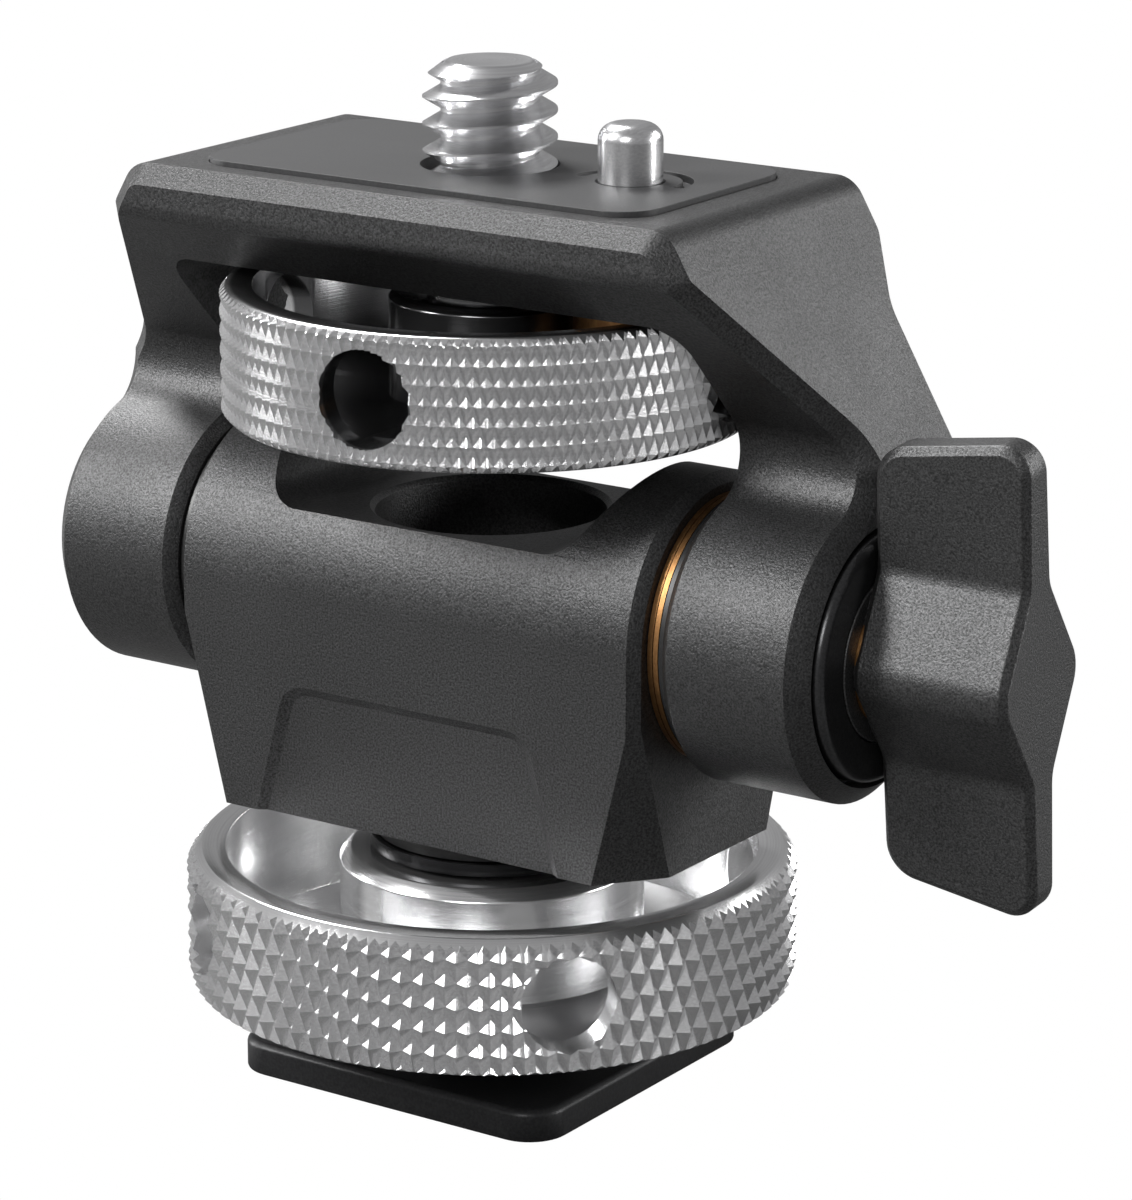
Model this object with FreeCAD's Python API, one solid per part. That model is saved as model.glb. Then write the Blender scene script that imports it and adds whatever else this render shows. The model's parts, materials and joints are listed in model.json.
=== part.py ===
import FreeCAD, Part
import math
import os

# Swivel-and-tilt camera and monitor mount on a flat shoe foot.
# Frame: +Z up, origin at the centre of the foot's underside, which is on the swivel axis.
# X is the tilt axis, with the clamp knob at +X, and -Y is the front. All sizes in millimetres.

# ---- fits -------------------------------------------------------------------
RUN_FIT = 0.05          # radial clearance between a shaft and the bore it turns in
FACE_GAP = 0.05         # clearance between faces that lie against each other

# ---- shoe foot and stem -----------------------------------------------------
FOOT_SIDE = 18.2
FOOT_THICK = 1.6
FOOT_CORNER = 2.0
FOOT_EDGE = 0.25        # chamfer round the top of the foot
STEM_RADIUS = 4.0       # M8 x 1 thread, at its crests
STEM_FLAT = 3.5         # half the distance across the two flats that key the clamp plate
SPIGOT_SIDE = 5.6       # square tenon that stops the stem turning in the foot
SPIGOT_DEPTH = 0.45
FLANGE_RADIUS = 5.9
FLANGE_THICK = 0.6
FLANGE_GAP = 0.25       # between the lower wheel's hub and the flange
NECK_RADIUS = 4.9
NECK_HEIGHT = 3.3       # neck above the flange, inside the body
FOOT_SCREW_RADIUS = 2.0
FOOT_SCREW_LENGTH = 6.0
FOOT_SCREW_HEAD = 3.6
FOOT_SCREW_CONE = 1.15

# ---- shoe clamp -------------------------------------------------------------
SHOE_GAP = 1.85         # opening between foot and clamp pad when fully open
PAD_RING_THICK = 0.25
PAD_RING_INNER = STEM_RADIUS + 1.0
PLATE_RADIUS = STEM_RADIUS + 4.0
PLATE_THICK = 0.6

# ---- lower knurled wheel ----------------------------------------------------
LOCK_RADIUS = 14.75
LOCK_HEIGHT = 6.55
LOCK_WALL = 1.9         # thickness of the rim
LOCK_RIM_CHAMFER = 0.72
LOCK_WEB = 0.75
LOCK_HUB_WALL = 3.37
LOCK_HUB_DROP = 0.15    # hub below the top of the rim
LOCK_HUB_CHAMFER = 0.55
LOCK_HOLE_TURN = -40.6  # direction of the first tommy hole, degrees from +X
TOMMY_RADIUS = 2.3      # tommy-bar holes in both wheels
TOMMY_COUNT = 4
RIM_EDGE = 0.35         # lower edge chamfer of both wheels

# ---- swivel body ------------------------------------------------------------
THRUST_THICK = 1.0      # washer that carries the body on the flange
THRUST_RADIUS = FLANGE_RADIUS - 0.3
AXIS_RISE = 11.1        # tilt axis above the body's underside
BARREL_RADIUS = 7.2
BARREL_HALF = 12.95
BARREL_CHAMFER = 0.5    # at the knob end
FACET_BELOW_AXIS = 1.8  # where each corner facet starts
FACET_X = 2.35          # facet width along X at the underside
FACET_Y = 3.0           # facet width along Y at the underside
NOTCH_RISE = 3.85       # floor of the notch above the tilt axis
NOTCH_LAND = 2.7        # floor beside the well
NOTCH_SPREAD = 1.9      # how much wider the notch is at its top
NOTCH_FILLET = 2.0
WELL_EDGE = 0.25
NECK_END_GAP = 0.3
BODY_WEB = 2.0          # wall between the well and the stem's socket
PANEL_RISE = 6.6        # plain sunk panel on the front
PANEL_MARGIN = 3.8      # from the panel to the body's end
PANEL_TAPER = 2.15
PANEL_DEPTH = 0.3
PANEL_BEVEL = 0.45      # width of the panel's sloping border
PANEL_FILLET = 1.5

# ---- swivel friction stack --------------------------------------------------
SWIVEL_BOLT_RADIUS = 2.5
SWIVEL_HEAD_RADIUS = 4.25
SWIVEL_HEAD_HEIGHT = 4.5
SWIVEL_THREAD = 7.0     # length of bolt in the stem
WELL_RADIUS = SWIVEL_HEAD_RADIUS + 1.25
SLIP_THICK = 0.4
DISC_OUTER = WELL_RADIUS - 0.4
DISC_THICK = 0.35
DISC_CONE = 0.2

# ---- tilt frame -------------------------------------------------------------
ARM_GAP = 0.95          # between the body and the raised face inside each arm
BOSS_PAD = 0.55         # height of that raised face, and of the chamfer round it
BOSS_LENGTH = 7.05
BOSS_RADIUS = BARREL_RADIUS - 0.2
TOP_RISE = 19.95        # top of the plate above the tilt axis
TOP_THICK = 4.75
TOP_HALF_DEPTH = 8.75   # half of the frame's depth, front to back
TOP_CORNER = 1.6
SHOULDER = 0.48         # plate beyond the inside of the arm, at the top face
FLARE_TAN = 0.583       # widening of the frame per unit of height
WINDOW_CORNER = 1.5
FRONT_DROP = 2.3        # height of the upright front edge
FRONT_SLOPE_TAN = 0.97  # set-back of the front per unit of height
FRONT_SLOPE_ROUND = 1.2
WAIST_FILLET = 2.3
BACK_DROP = 2.55        # height of the upright back edge
BACK_FLARE = 3.0        # height over which the back comes in to the boss
BACK_ROUND = 1.5
FRAME_CHAMFER = 0.9

# ---- pivots and knob --------------------------------------------------------
PIVOT_RADIUS = 3.0
PIVOT_THREAD = 2.5
PIVOT_DEPTH = 6.2       # threaded length in the body, each side
BUSH_WALL = 0.6
PIVOT_HEAD_RADIUS = PIVOT_RADIUS + 1.4
PIVOT_HEAD_THICK = 2.2
PIVOT_HEAD_SUNK = 0.3
HEX_HALF = 1.5          # half the distance across the flats of a socket
WAVE_THICK = 0.25
BRONZE_THICK = 0.25
GAP_WASHER_RADIUS = BOSS_RADIUS - 0.7
RECESS_RADIUS = BOSS_RADIUS - 0.9
RECESS_DEPTH = 1.2
COLLAR_RADIUS = RECESS_RADIUS - 0.25
COLLAR_THICK = 1.5
COLLAR_SEAT = 0.8       # depth of the seat that takes the knob's hub
KNOB_GAP = 0.4
KNOB_LENGTH = 7.8
KNOB_HUB = 3.9
KNOB_INNER_HALF = 10.15
KNOB_OUTER_HALF = 11.35
KNOB_CORNER_IN = 1.7
KNOB_CORNER_OUT = 1.4
KNOB_WING = 2.3         # thickness of a wing
KNOB_WING_TIP = 1.9
KNOB_SWELL = 4.6        # half the height of the swelling between the wings
KNOB_PEAK = 3.75        # where the swelling's slopes would meet, from the middle plane
KNOB_CREST = 2.0        # radius along the top of the swelling
KNOB_BLEND = 1.5        # radius where a slope runs into a wing
KNOB_EDGE = 0.35
KNOB_TURN = -5.0        # rest angle of the wings about the tilt axis
INSERT_WALL = 0.5
KNOB_END_WALL = 1.7

# ---- upper knurled wheel, camera screw and locating pin ----------------------
CAM_SIDE_GAP = 1.75     # between the wheel and each arm
CAM_HEIGHT = 6.2
CAM_WALL = 1.55
CAM_RIM_CHAMFER = 0.34
CAM_WEB = 0.9
CAM_HOLE_TURN = -82.5
CAM_GAP = 0.55          # between the wheel and the underside of the top plate
SCREW_RADIUS = 3.175    # 1/4 inch thread, at its crests
SCREW_PROUD = 4.85      # above the pad
SCREW_TIP_RADIUS = 2.1
SCREW_TIP_LENGTH = 0.85
SCREW_SHANK = 3.0
SCREW_RELIEF = 3.0      # plain part between the flange and the pad
SCREW_FLANGE_THICK = 1.0
SCREW_BORE = SCREW_RADIUS + 0.125
SEAT_DEPTH = 2.6        # counterbore under the top plate for the screw's flange
SCREW_WASHER_THICK = 0.3
SCREW_DROP = 0.7        # axial float of the captive screw
RETAINER_THICK = 0.4
RETAINER_BORE = SCREW_SHANK + 0.4
GRUB_RADIUS = 1.5
PIN_X = 7.8
PIN_RADIUS = 1.5
PIN_PROUD = 2.7
PIN_DOME = 0.55
PIN_FLANGE = PIN_RADIUS + 0.6
PIN_FLANGE_THICK = 0.8
SLEEVE_WALL = 0.4
SLEEVE_RADIUS = PIN_FLANGE + SLEEVE_WALL + 2 * RUN_FIT
SLEEVE_BELOW = 3.6      # sleeve below the underside of the top plate
SLEEVE_TOP = 1.75       # plate left above the sleeve
SPRING_WIRE = 0.18
SPRING_TURNS = 6

# ---- rubber pad -------------------------------------------------------------
PAD_PROUD = 0.25
PAD_SUNK = 0.5
PAD_SIDE_MARGIN = 2.53  # from the pad to the end of the plate
PAD_FRONT_MARGIN = 2.15
PAD_CORNER = 2.0
PAD_SCREW_HOLE = SCREW_RADIUS + 0.075
PAD_SLOT_OUTER = PIN_RADIUS + 1.4
PAD_SLOT_WIDTH = 0.5
PAD_SLOT_DEPTH = 0.35

# ---- heights and places that follow from the sizes above --------------------
CLAMP_PAD_BASE = FOOT_THICK + SHOE_GAP
PLATE_BASE = CLAMP_PAD_BASE + PAD_RING_THICK
LOCK_BASE = PLATE_BASE + PLATE_THICK + FACE_GAP
LOCK_BORE = LOCK_RADIUS - LOCK_WALL
LOCK_RIM_FLAT = LOCK_RADIUS - LOCK_RIM_CHAMFER
LOCK_HUB_RADIUS = STEM_RADIUS + LOCK_HUB_WALL
LOCK_HUB_HEIGHT = LOCK_HEIGHT - LOCK_HUB_DROP
HUB_TOP = LOCK_BASE + LOCK_HUB_HEIGHT
FLANGE_BASE = HUB_TOP + FLANGE_GAP
FLANGE_TOP = FLANGE_BASE + FLANGE_THICK
NECK_TOP = FLANGE_TOP + NECK_HEIGHT
BODY_BASE = FLANGE_TOP + THRUST_THICK + 2 * FACE_GAP
WELL_BASE = NECK_TOP + NECK_END_GAP
WELL_FLOOR = WELL_BASE + BODY_WEB
AXIS_HEIGHT = BODY_BASE + AXIS_RISE
FACET_TOP = AXIS_HEIGHT - FACET_BELOW_AXIS
NOTCH_FLOOR = AXIS_HEIGHT + NOTCH_RISE
NOTCH_FLOOR_HALF = WELL_RADIUS + NOTCH_LAND
NOTCH_TOP_HALF = NOTCH_FLOOR_HALF + NOTCH_SPREAD
PANEL_TOP = BODY_BASE + PANEL_RISE
PANEL_BASE_HALF = BARREL_HALF - PANEL_MARGIN
PANEL_TOP_HALF = PANEL_BASE_HALF - PANEL_TAPER
BOSS_FACE = BARREL_HALF + ARM_GAP
ARM_INNER = BOSS_FACE + BOSS_PAD
BOSS_END = ARM_INNER + BOSS_LENGTH
FLARE_TOP_HALF = ARM_INNER + SHOULDER
TOP_HEIGHT = AXIS_HEIGHT + TOP_RISE
PLATE_UNDER = TOP_HEIGHT - TOP_THICK
FRONT_SLOPE_START = TOP_HEIGHT - FRONT_DROP
BACK_FLARE_END = TOP_HEIGHT - BACK_DROP
BACK_FLARE_START = BACK_FLARE_END - BACK_FLARE
KNOB_INNER = BOSS_END + KNOB_GAP
KNOB_OUTER = KNOB_INNER + KNOB_LENGTH
CAM_RADIUS = ARM_INNER - CAM_SIDE_GAP
CAM_BORE = CAM_RADIUS - CAM_WALL
CAM_RIM_FLAT = CAM_RADIUS - CAM_RIM_CHAMFER
CAM_TOP = PLATE_UNDER - CAM_GAP
CAM_BASE = CAM_TOP - CAM_HEIGHT
CAM_HUB_RADIUS = PIN_X - SLEEVE_RADIUS - 0.4
SEAT_RADIUS = PIN_X - SLEEVE_RADIUS - 0.2
SCREW_FLANGE = SEAT_RADIUS - 0.4
PAD_TOP = TOP_HEIGHT + PAD_PROUD
PAD_HALF_X = FLARE_TOP_HALF - PAD_SIDE_MARGIN
PAD_HALF_Y = TOP_HALF_DEPTH - PAD_FRONT_MARGIN
X_AXIS = FreeCAD.Vector(1, 0, 0)
Y_AXIS = FreeCAD.Vector(0, 1, 0)
Z_AXIS = FreeCAD.Vector(0, 0, 1)
BIG = 80.0              # longer than the whole mount


# ---- shape helpers ----------------------------------------------------------
def vec(x, y, z):
    return FreeCAD.Vector(x, y, z)


def cylinder_z(radius, low, high, x=0.0, y=0.0):
    return Part.makeCylinder(radius, high - low, vec(x, y, low), Z_AXIS)


def cylinder_x(radius, left, right, z=AXIS_HEIGHT):
    return Part.makeCylinder(radius, right - left, vec(left, 0, z), X_AXIS)


def ring_z(outer, inner, low, high):
    return cylinder_z(outer, low, high).cut(cylinder_z(inner, low - 1, high + 1))


def ring_x(outer, inner, left, right):
    return cylinder_x(outer, left, right).cut(cylinder_x(inner, left - 1, right + 1))


def box(x0, x1, y0, y1, z0, z1):
    return Part.makeBox(x1 - x0, y1 - y0, z1 - z0, vec(x0, y0, z0))


def turned(profile):
    """Solid of revolution from (radius, height) points about the swivel axis."""
    points = [vec(radius, 0, height) for radius, height in profile]
    face = Part.Face(Part.makePolygon(points + points[:1]))
    return face.revolve(vec(0, 0, 0), Z_AXIS, 360)


def rounded_wire(corners, place):
    """Closed wire through (a, b, radius) corners, each rounded by its radius.

    place maps the two plane coordinates to a point in space.
    """
    flat = [FreeCAD.Vector(a, b, 0) for a, b, _ in corners]
    count = len(flat)
    entries = []
    for i, (_, _, radius) in enumerate(corners):
        before = (flat[i - 1] - flat[i]).normalize()
        after = (flat[(i + 1) % count] - flat[i]).normalize()
        if radius <= 0:
            entries.append((flat[i], None, flat[i]))
            continue
        half = before.getAngle(after) / 2
        reach = radius / math.tan(half)
        bisector = (before + after).normalize()
        centre = flat[i] + bisector * (radius / math.sin(half))
        middle = centre - bisector * radius
        entries.append((flat[i] + before * reach, middle, flat[i] + after * reach))
    edges = []
    for i, (start, middle, end) in enumerate(entries):
        if middle is not None:
            arc = Part.Arc(place(start.x, start.y), place(middle.x, middle.y), place(end.x, end.y))
            edges.append(arc.toShape())
        following = entries[(i + 1) % count][0]
        if (following - end).Length > 1e-6:
            edges.append(Part.LineSegment(place(end.x, end.y), place(following.x, following.y)).toShape())
    return Part.Wire(edges)


def prism_y(corners, half_depth):
    """Rounded outline in the XZ plane, extended both ways along Y."""
    wire = rounded_wire(corners, lambda a, b: vec(a, -half_depth, b))
    return Part.Face(wire).extrude(Y_AXIS * (2 * half_depth))


def hex_socket_z(half, low, high):
    """Six-sided prism about the swivel axis, half being the distance from axis to flat."""
    radius = half / math.cos(math.pi / 6)
    points = []
    for i in range(7):
        angle = math.pi * i / 3
        points.append(vec(radius * math.cos(angle), radius * math.sin(angle), low))
    return Part.Face(Part.makePolygon(points)).extrude(Z_AXIS * (high - low))


def about_tilt_axis(shape, end, pointing):
    """Take a shape made along Z and lay it along the tilt axis.

    The shape's height 0 goes to x = end, and its +Z points to pointing * X.
    """
    laid = shape.copy()
    laid.rotate(vec(0, 0, 0), Y_AXIS, 90 * pointing)
    laid.translate(vec(end, 0, AXIS_HEIGHT))
    return laid


def around(shape, count, first_turn):
    copies = []
    for i in range(count):
        copy = shape.copy()
        copy.rotate(vec(0, 0, 0), Z_AXIS, first_turn + 360.0 * i / count)
        copies.append(copy)
    return copies


def radial_cylinder(radius, inner, outer, height):
    return Part.makeCylinder(radius, outer - inner, vec(inner, 0, height), X_AXIS)


def save(name, shape):
    if not shape.isValid():
        raise ValueError(name + " is not a valid solid")
    shape.exportStep("parts/" + name + ".step")
    print("%-24s solids %d  volume %9.2f" % (name, len(shape.Solids), shape.Volume))


# ---- foot, stem and their screw ---------------------------------------------
def shoe_foot():
    half = FOOT_SIDE / 2
    corners = [(sx * half, sy * half, FOOT_CORNER) for sx, sy in ((-1, -1), (1, -1), (1, 1), (-1, 1))]
    plate = Part.Face(rounded_wire(corners, lambda a, b: vec(a, b, 0))).extrude(Z_AXIS * FOOT_THICK)
    top_edges = [edge for edge in plate.Edges if edge.BoundBox.ZMin > FOOT_THICK - 0.01]
    plate = plate.makeChamfer(FOOT_EDGE, top_edges)
    tenon = SPIGOT_SIDE / 2 + FACE_GAP
    mortise = box(-tenon, tenon, -tenon, tenon, FOOT_THICK - SPIGOT_DEPTH - FACE_GAP, FOOT_THICK + 1)
    clear = 2 * RUN_FIT
    cone = Part.makeCone(FOOT_SCREW_HEAD + clear, FOOT_SCREW_RADIUS + clear, FOOT_SCREW_CONE)
    shank = cylinder_z(FOOT_SCREW_RADIUS + RUN_FIT, -1, FOOT_THICK + 1)
    return plate.cut(mortise).cut(cone).cut(shank)


def foot_screw():
    cone = Part.makeCone(FOOT_SCREW_HEAD, FOOT_SCREW_RADIUS, FOOT_SCREW_CONE - FACE_GAP, vec(0, 0, FACE_GAP))
    shank = cylinder_z(FOOT_SCREW_RADIUS, FACE_GAP, FOOT_SCREW_LENGTH)
    socket = hex_socket_z(HEX_HALF * 0.8, 0, FOOT_SCREW_CONE)
    return cone.fuse(shank).cut(socket).removeSplitter()


def stem():
    post = cylinder_z(STEM_RADIUS, FOOT_THICK, FLANGE_BASE)
    for side in (-1, 1):
        near = min(side * STEM_FLAT, side * 2 * STEM_RADIUS)
        far = max(side * STEM_FLAT, side * 2 * STEM_RADIUS)
        post = post.cut(box(near, far, -BIG, BIG, FOOT_THICK, LOCK_BASE + LOCK_WEB))
    half = SPIGOT_SIDE / 2
    tenon = box(-half, half, -half, half, FOOT_THICK - SPIGOT_DEPTH, FOOT_THICK)
    flange = cylinder_z(FLANGE_RADIUS, FLANGE_BASE, FLANGE_TOP)
    neck = cylinder_z(NECK_RADIUS, FLANGE_TOP, NECK_TOP)
    body = post.fuse([tenon, flange, neck])
    lower_tap = cylinder_z(FOOT_SCREW_RADIUS, 0, FOOT_SCREW_LENGTH + 0.4)
    upper_tap = cylinder_z(SWIVEL_BOLT_RADIUS, NECK_TOP - SWIVEL_THREAD - 0.3, NECK_TOP + 1)
    return body.cut(lower_tap).cut(upper_tap).removeSplitter()


def swivel_bolt():
    head_base = WELL_FLOOR + SLIP_THICK + 2 * (DISC_THICK + DISC_CONE) + 4 * FACE_GAP
    shank = cylinder_z(SWIVEL_BOLT_RADIUS, NECK_TOP - SWIVEL_THREAD, head_base)
    head = cylinder_z(SWIVEL_HEAD_RADIUS, head_base, head_base + SWIVEL_HEAD_HEIGHT)
    rim = [edge for edge in head.Edges if edge.BoundBox.ZMin > head_base + SWIVEL_HEAD_HEIGHT - 0.01]
    head = head.makeChamfer(0.3, rim)
    top = head_base + SWIVEL_HEAD_HEIGHT
    socket = hex_socket_z(HEX_HALF * 4 / 3, top - SWIVEL_HEAD_HEIGHT / 2, top + 1)
    return shank.fuse(head).cut(socket).removeSplitter()


# ---- shoe clamp -------------------------------------------------------------
def keyed_bore(low, high):
    bore = cylinder_z(STEM_RADIUS + RUN_FIT, low, high)
    flat = STEM_FLAT + RUN_FIT
    return bore.common(box(-flat, flat, -BIG, BIG, low, high))


def clamp_plate():
    plate = cylinder_z(PLATE_RADIUS, PLATE_BASE, PLATE_BASE + PLATE_THICK)
    return plate.cut(keyed_bore(PLATE_BASE - 1, PLATE_BASE + PLATE_THICK + 1))


def clamp_pad():
    return ring_z(PLATE_RADIUS - 0.2, PAD_RING_INNER, CLAMP_PAD_BASE, PLATE_BASE)


# ---- knurled wheels ---------------------------------------------------------
def wheel_blank(radius, bore, rim_flat, base, height, web, hub_radius, hub_height, hub_chamfer, shaft):
    """Turned cup: a tall rim, a thin web and a hub."""
    top = base + height
    hub_top = base + hub_height
    profile = [
        (shaft, base), (radius - RIM_EDGE, base), (radius, base + RIM_EDGE),
        (radius, top - (radius - rim_flat)), (rim_flat, top), (bore, top),
        (bore, base + web), (hub_radius, base + web), (hub_radius, hub_top - hub_chamfer),
        (hub_radius - hub_chamfer, hub_top), (shaft, hub_top),
    ]
    return turned(profile)


def with_tommy_holes(wheel, radius, bore, base, height, first_turn):
    hole = radial_cylinder(TOMMY_RADIUS, bore - 1.5, radius + 1, base + height / 2)
    return wheel.cut(around(hole, TOMMY_COUNT, first_turn))


def lock_wheel():
    wheel = wheel_blank(LOCK_RADIUS, LOCK_BORE, LOCK_RIM_FLAT, LOCK_BASE, LOCK_HEIGHT, LOCK_WEB,
                        LOCK_HUB_RADIUS, LOCK_HUB_HEIGHT, LOCK_HUB_CHAMFER, STEM_RADIUS + RUN_FIT)
    return with_tommy_holes(wheel, LOCK_RADIUS, LOCK_BORE, LOCK_BASE, LOCK_HEIGHT, LOCK_HOLE_TURN)


def camera_wheel():
    wheel = wheel_blank(CAM_RADIUS, CAM_BORE, CAM_RIM_FLAT, CAM_BASE, CAM_HEIGHT, CAM_WEB,
                        CAM_HUB_RADIUS, CAM_HEIGHT - RIM_EDGE, RIM_EDGE, SCREW_SHANK)
    wheel = with_tommy_holes(wheel, CAM_RADIUS, CAM_BORE, CAM_BASE, CAM_HEIGHT, CAM_HOLE_TURN)
    tap = radial_cylinder(GRUB_RADIUS, 0, CAM_HUB_RADIUS + 0.5, CAM_BASE + CAM_HEIGHT / 2)
    tap.rotate(vec(0, 0, 0), Z_AXIS, CAM_HOLE_TURN)
    return wheel.cut(tap)


def wheel_grub_screw():
    height = CAM_BASE + CAM_HEIGHT / 2
    grub = radial_cylinder(GRUB_RADIUS, SCREW_SHANK - 2 * FACE_GAP, CAM_HUB_RADIUS - 0.1, height)
    grub = grub.cut(cylinder_z(SCREW_SHANK + FACE_GAP, CAM_BASE, CAM_TOP))
    socket = radial_cylinder(GRUB_RADIUS / 2, CAM_HUB_RADIUS - 0.9, CAM_HUB_RADIUS + 1, height)
    grub = grub.cut(socket)
    grub.rotate(vec(0, 0, 0), Z_AXIS, CAM_HOLE_TURN)
    return grub


# ---- swivel body ------------------------------------------------------------
def corner_facet(side_x, side_y):
    """Wedge taken off one lower corner of the body, growing towards the underside."""
    below = 2.0
    grow = (FACET_TOP - BODY_BASE + below) / (FACET_TOP - BODY_BASE)
    out = 1.0
    corner_x = BARREL_HALF
    corner_y = BARREL_RADIUS
    low = BODY_BASE - below
    wide_x = FACET_X * grow
    wide_y = FACET_Y * grow
    over = out / wide_x + out / wide_y
    tip = vec(side_x * (corner_x + out), side_y * (corner_y + out), FACET_TOP + over * (FACET_TOP - low))
    corner = vec(side_x * (corner_x + out), side_y * (corner_y + out), low)
    along_x = vec(side_x * (corner_x - wide_x - out * wide_x / wide_y), side_y * (corner_y + out), low)
    along_y = vec(side_x * (corner_x + out), side_y * (corner_y - wide_y - out * wide_y / wide_x), low)
    triangles = [(corner, along_x, along_y), (corner, along_x, tip), (corner, along_y, tip),
                 (along_x, along_y, tip)]
    faces = [Part.Face(Part.makePolygon([a, b, c, a])) for a, b, c in triangles]
    wedge = Part.makeSolid(Part.makeShell(faces))
    if wedge.Volume < 0:
        wedge.reverse()
    return wedge


def body_block():
    barrel = cylinder_x(BARREL_RADIUS, -BARREL_HALF, BARREL_HALF)
    block = box(-BARREL_HALF, BARREL_HALF, -BARREL_RADIUS, BARREL_RADIUS, BODY_BASE, AXIS_HEIGHT)
    body = barrel.fuse(block)
    for side_x in (-1, 1):
        for side_y in (-1, 1):
            body = body.cut(corner_facet(side_x, side_y))
    body = body.removeSplitter()
    end_edges = []
    for edge in body.Edges:
        on_end = abs(abs(edge.BoundBox.Center.x) - BARREL_HALF) < 0.01 and edge.BoundBox.XLength < 0.01
        if on_end and edge.BoundBox.ZMax > AXIS_HEIGHT + 0.01 and edge.BoundBox.XMin > 0:
            end_edges.append(edge)
    body = body.makeChamfer(BARREL_CHAMFER, end_edges)
    top = AXIS_HEIGHT + BARREL_RADIUS + 2
    rise = (NOTCH_TOP_HALF - NOTCH_FLOOR_HALF) / (AXIS_HEIGHT + BARREL_RADIUS - NOTCH_FLOOR)
    high_half = NOTCH_FLOOR_HALF + rise * (top - NOTCH_FLOOR)
    notch = prism_y([(-NOTCH_FLOOR_HALF, NOTCH_FLOOR, NOTCH_FILLET),
                     (NOTCH_FLOOR_HALF, NOTCH_FLOOR, NOTCH_FILLET),
                     (high_half, top, 0), (-high_half, top, 0)], BIG)
    body = body.cut(notch)
    well = turned([(0, WELL_FLOOR), (WELL_RADIUS, WELL_FLOOR), (WELL_RADIUS, NOTCH_FLOOR - WELL_EDGE),
                   (WELL_RADIUS + WELL_EDGE + 1, NOTCH_FLOOR + 1), (0, NOTCH_FLOOR + 1)])
    bolt_way = cylinder_z(SWIVEL_BOLT_RADIUS + RUN_FIT, BODY_BASE, WELL_FLOOR + 1)
    socket = cylinder_z(NECK_RADIUS + RUN_FIT, BODY_BASE - 1, WELL_BASE)
    body = body.cut(well).cut(bolt_way).cut(socket)
    for side in (-1, 1):
        ends = sorted((side * (BARREL_HALF - PIVOT_DEPTH), side * (BARREL_HALF + 1)))
        body = body.cut(cylinder_x(PIVOT_THREAD, *ends))
    return body.cut(sunk_panel())


def panel_wire(grow, y):
    """Outline of the front panel, grown all round, at one depth."""
    base = BODY_BASE - 1 - PANEL_BEVEL
    top_half = PANEL_TOP_HALF + grow
    base_half = PANEL_BASE_HALF + grow
    corners = [(-base_half, base, 0), (base_half, base, 0), (top_half, PANEL_TOP + grow, PANEL_FILLET + grow),
               (-top_half, PANEL_TOP + grow, PANEL_FILLET + grow)]
    return rounded_wire(corners, lambda a, b: vec(a, y, b))


def sunk_panel():
    """Pocket with sloping sides, from outside the front face to the panel's floor."""
    floor = panel_wire(-PANEL_BEVEL, -BARREL_RADIUS + PANEL_DEPTH)
    outside = panel_wire(PANEL_BEVEL, -BARREL_RADIUS - PANEL_DEPTH)
    return Part.makeLoft([floor, outside], True, True)


def swivel_thrust_washer():
    return ring_z(THRUST_RADIUS, NECK_RADIUS + RUN_FIT, FLANGE_TOP + FACE_GAP, BODY_BASE - FACE_GAP)


def swivel_slip_washer():
    low = WELL_FLOOR + FACE_GAP
    return ring_z(DISC_OUTER, SWIVEL_BOLT_RADIUS + 2 * RUN_FIT, low, low + SLIP_THICK)


def disc_spring(low, cup_up):
    """Coned disc: its outer rim is higher than its bore when cup_up is true."""
    inner = SWIVEL_BOLT_RADIUS + 2 * RUN_FIT
    rim_rise = DISC_CONE if cup_up else 0.0
    bore_rise = DISC_CONE - rim_rise
    return turned([(inner, low + bore_rise), (DISC_OUTER, low + rim_rise),
                   (DISC_OUTER, low + rim_rise + DISC_THICK), (inner, low + bore_rise + DISC_THICK)])


# ---- tilt frame -------------------------------------------------------------
def waist_points():
    """Centre of the concave waist and where it meets the front slope and the boss."""
    slope = vec(FRONT_SLOPE_TAN, -1, 0).normalize()
    normal = vec(slope.y, -slope.x, 0)
    start = vec(-TOP_HALF_DEPTH, FRONT_SLOPE_START, 0) + normal * WAIST_FILLET
    boss = vec(0, AXIS_HEIGHT, 0)
    reach = BOSS_RADIUS + WAIST_FILLET
    offset = start - boss
    along = offset.dot(slope)
    run = -along - math.sqrt(along * along - offset.dot(offset) + reach * reach)
    centre = start + slope * run
    on_slope = centre - normal * WAIST_FILLET
    on_boss = boss + (centre - boss).normalize() * BOSS_RADIUS
    rear = centre + vec(WAIST_FILLET, 0, 0)
    return centre, on_slope, rear, on_boss


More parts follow.
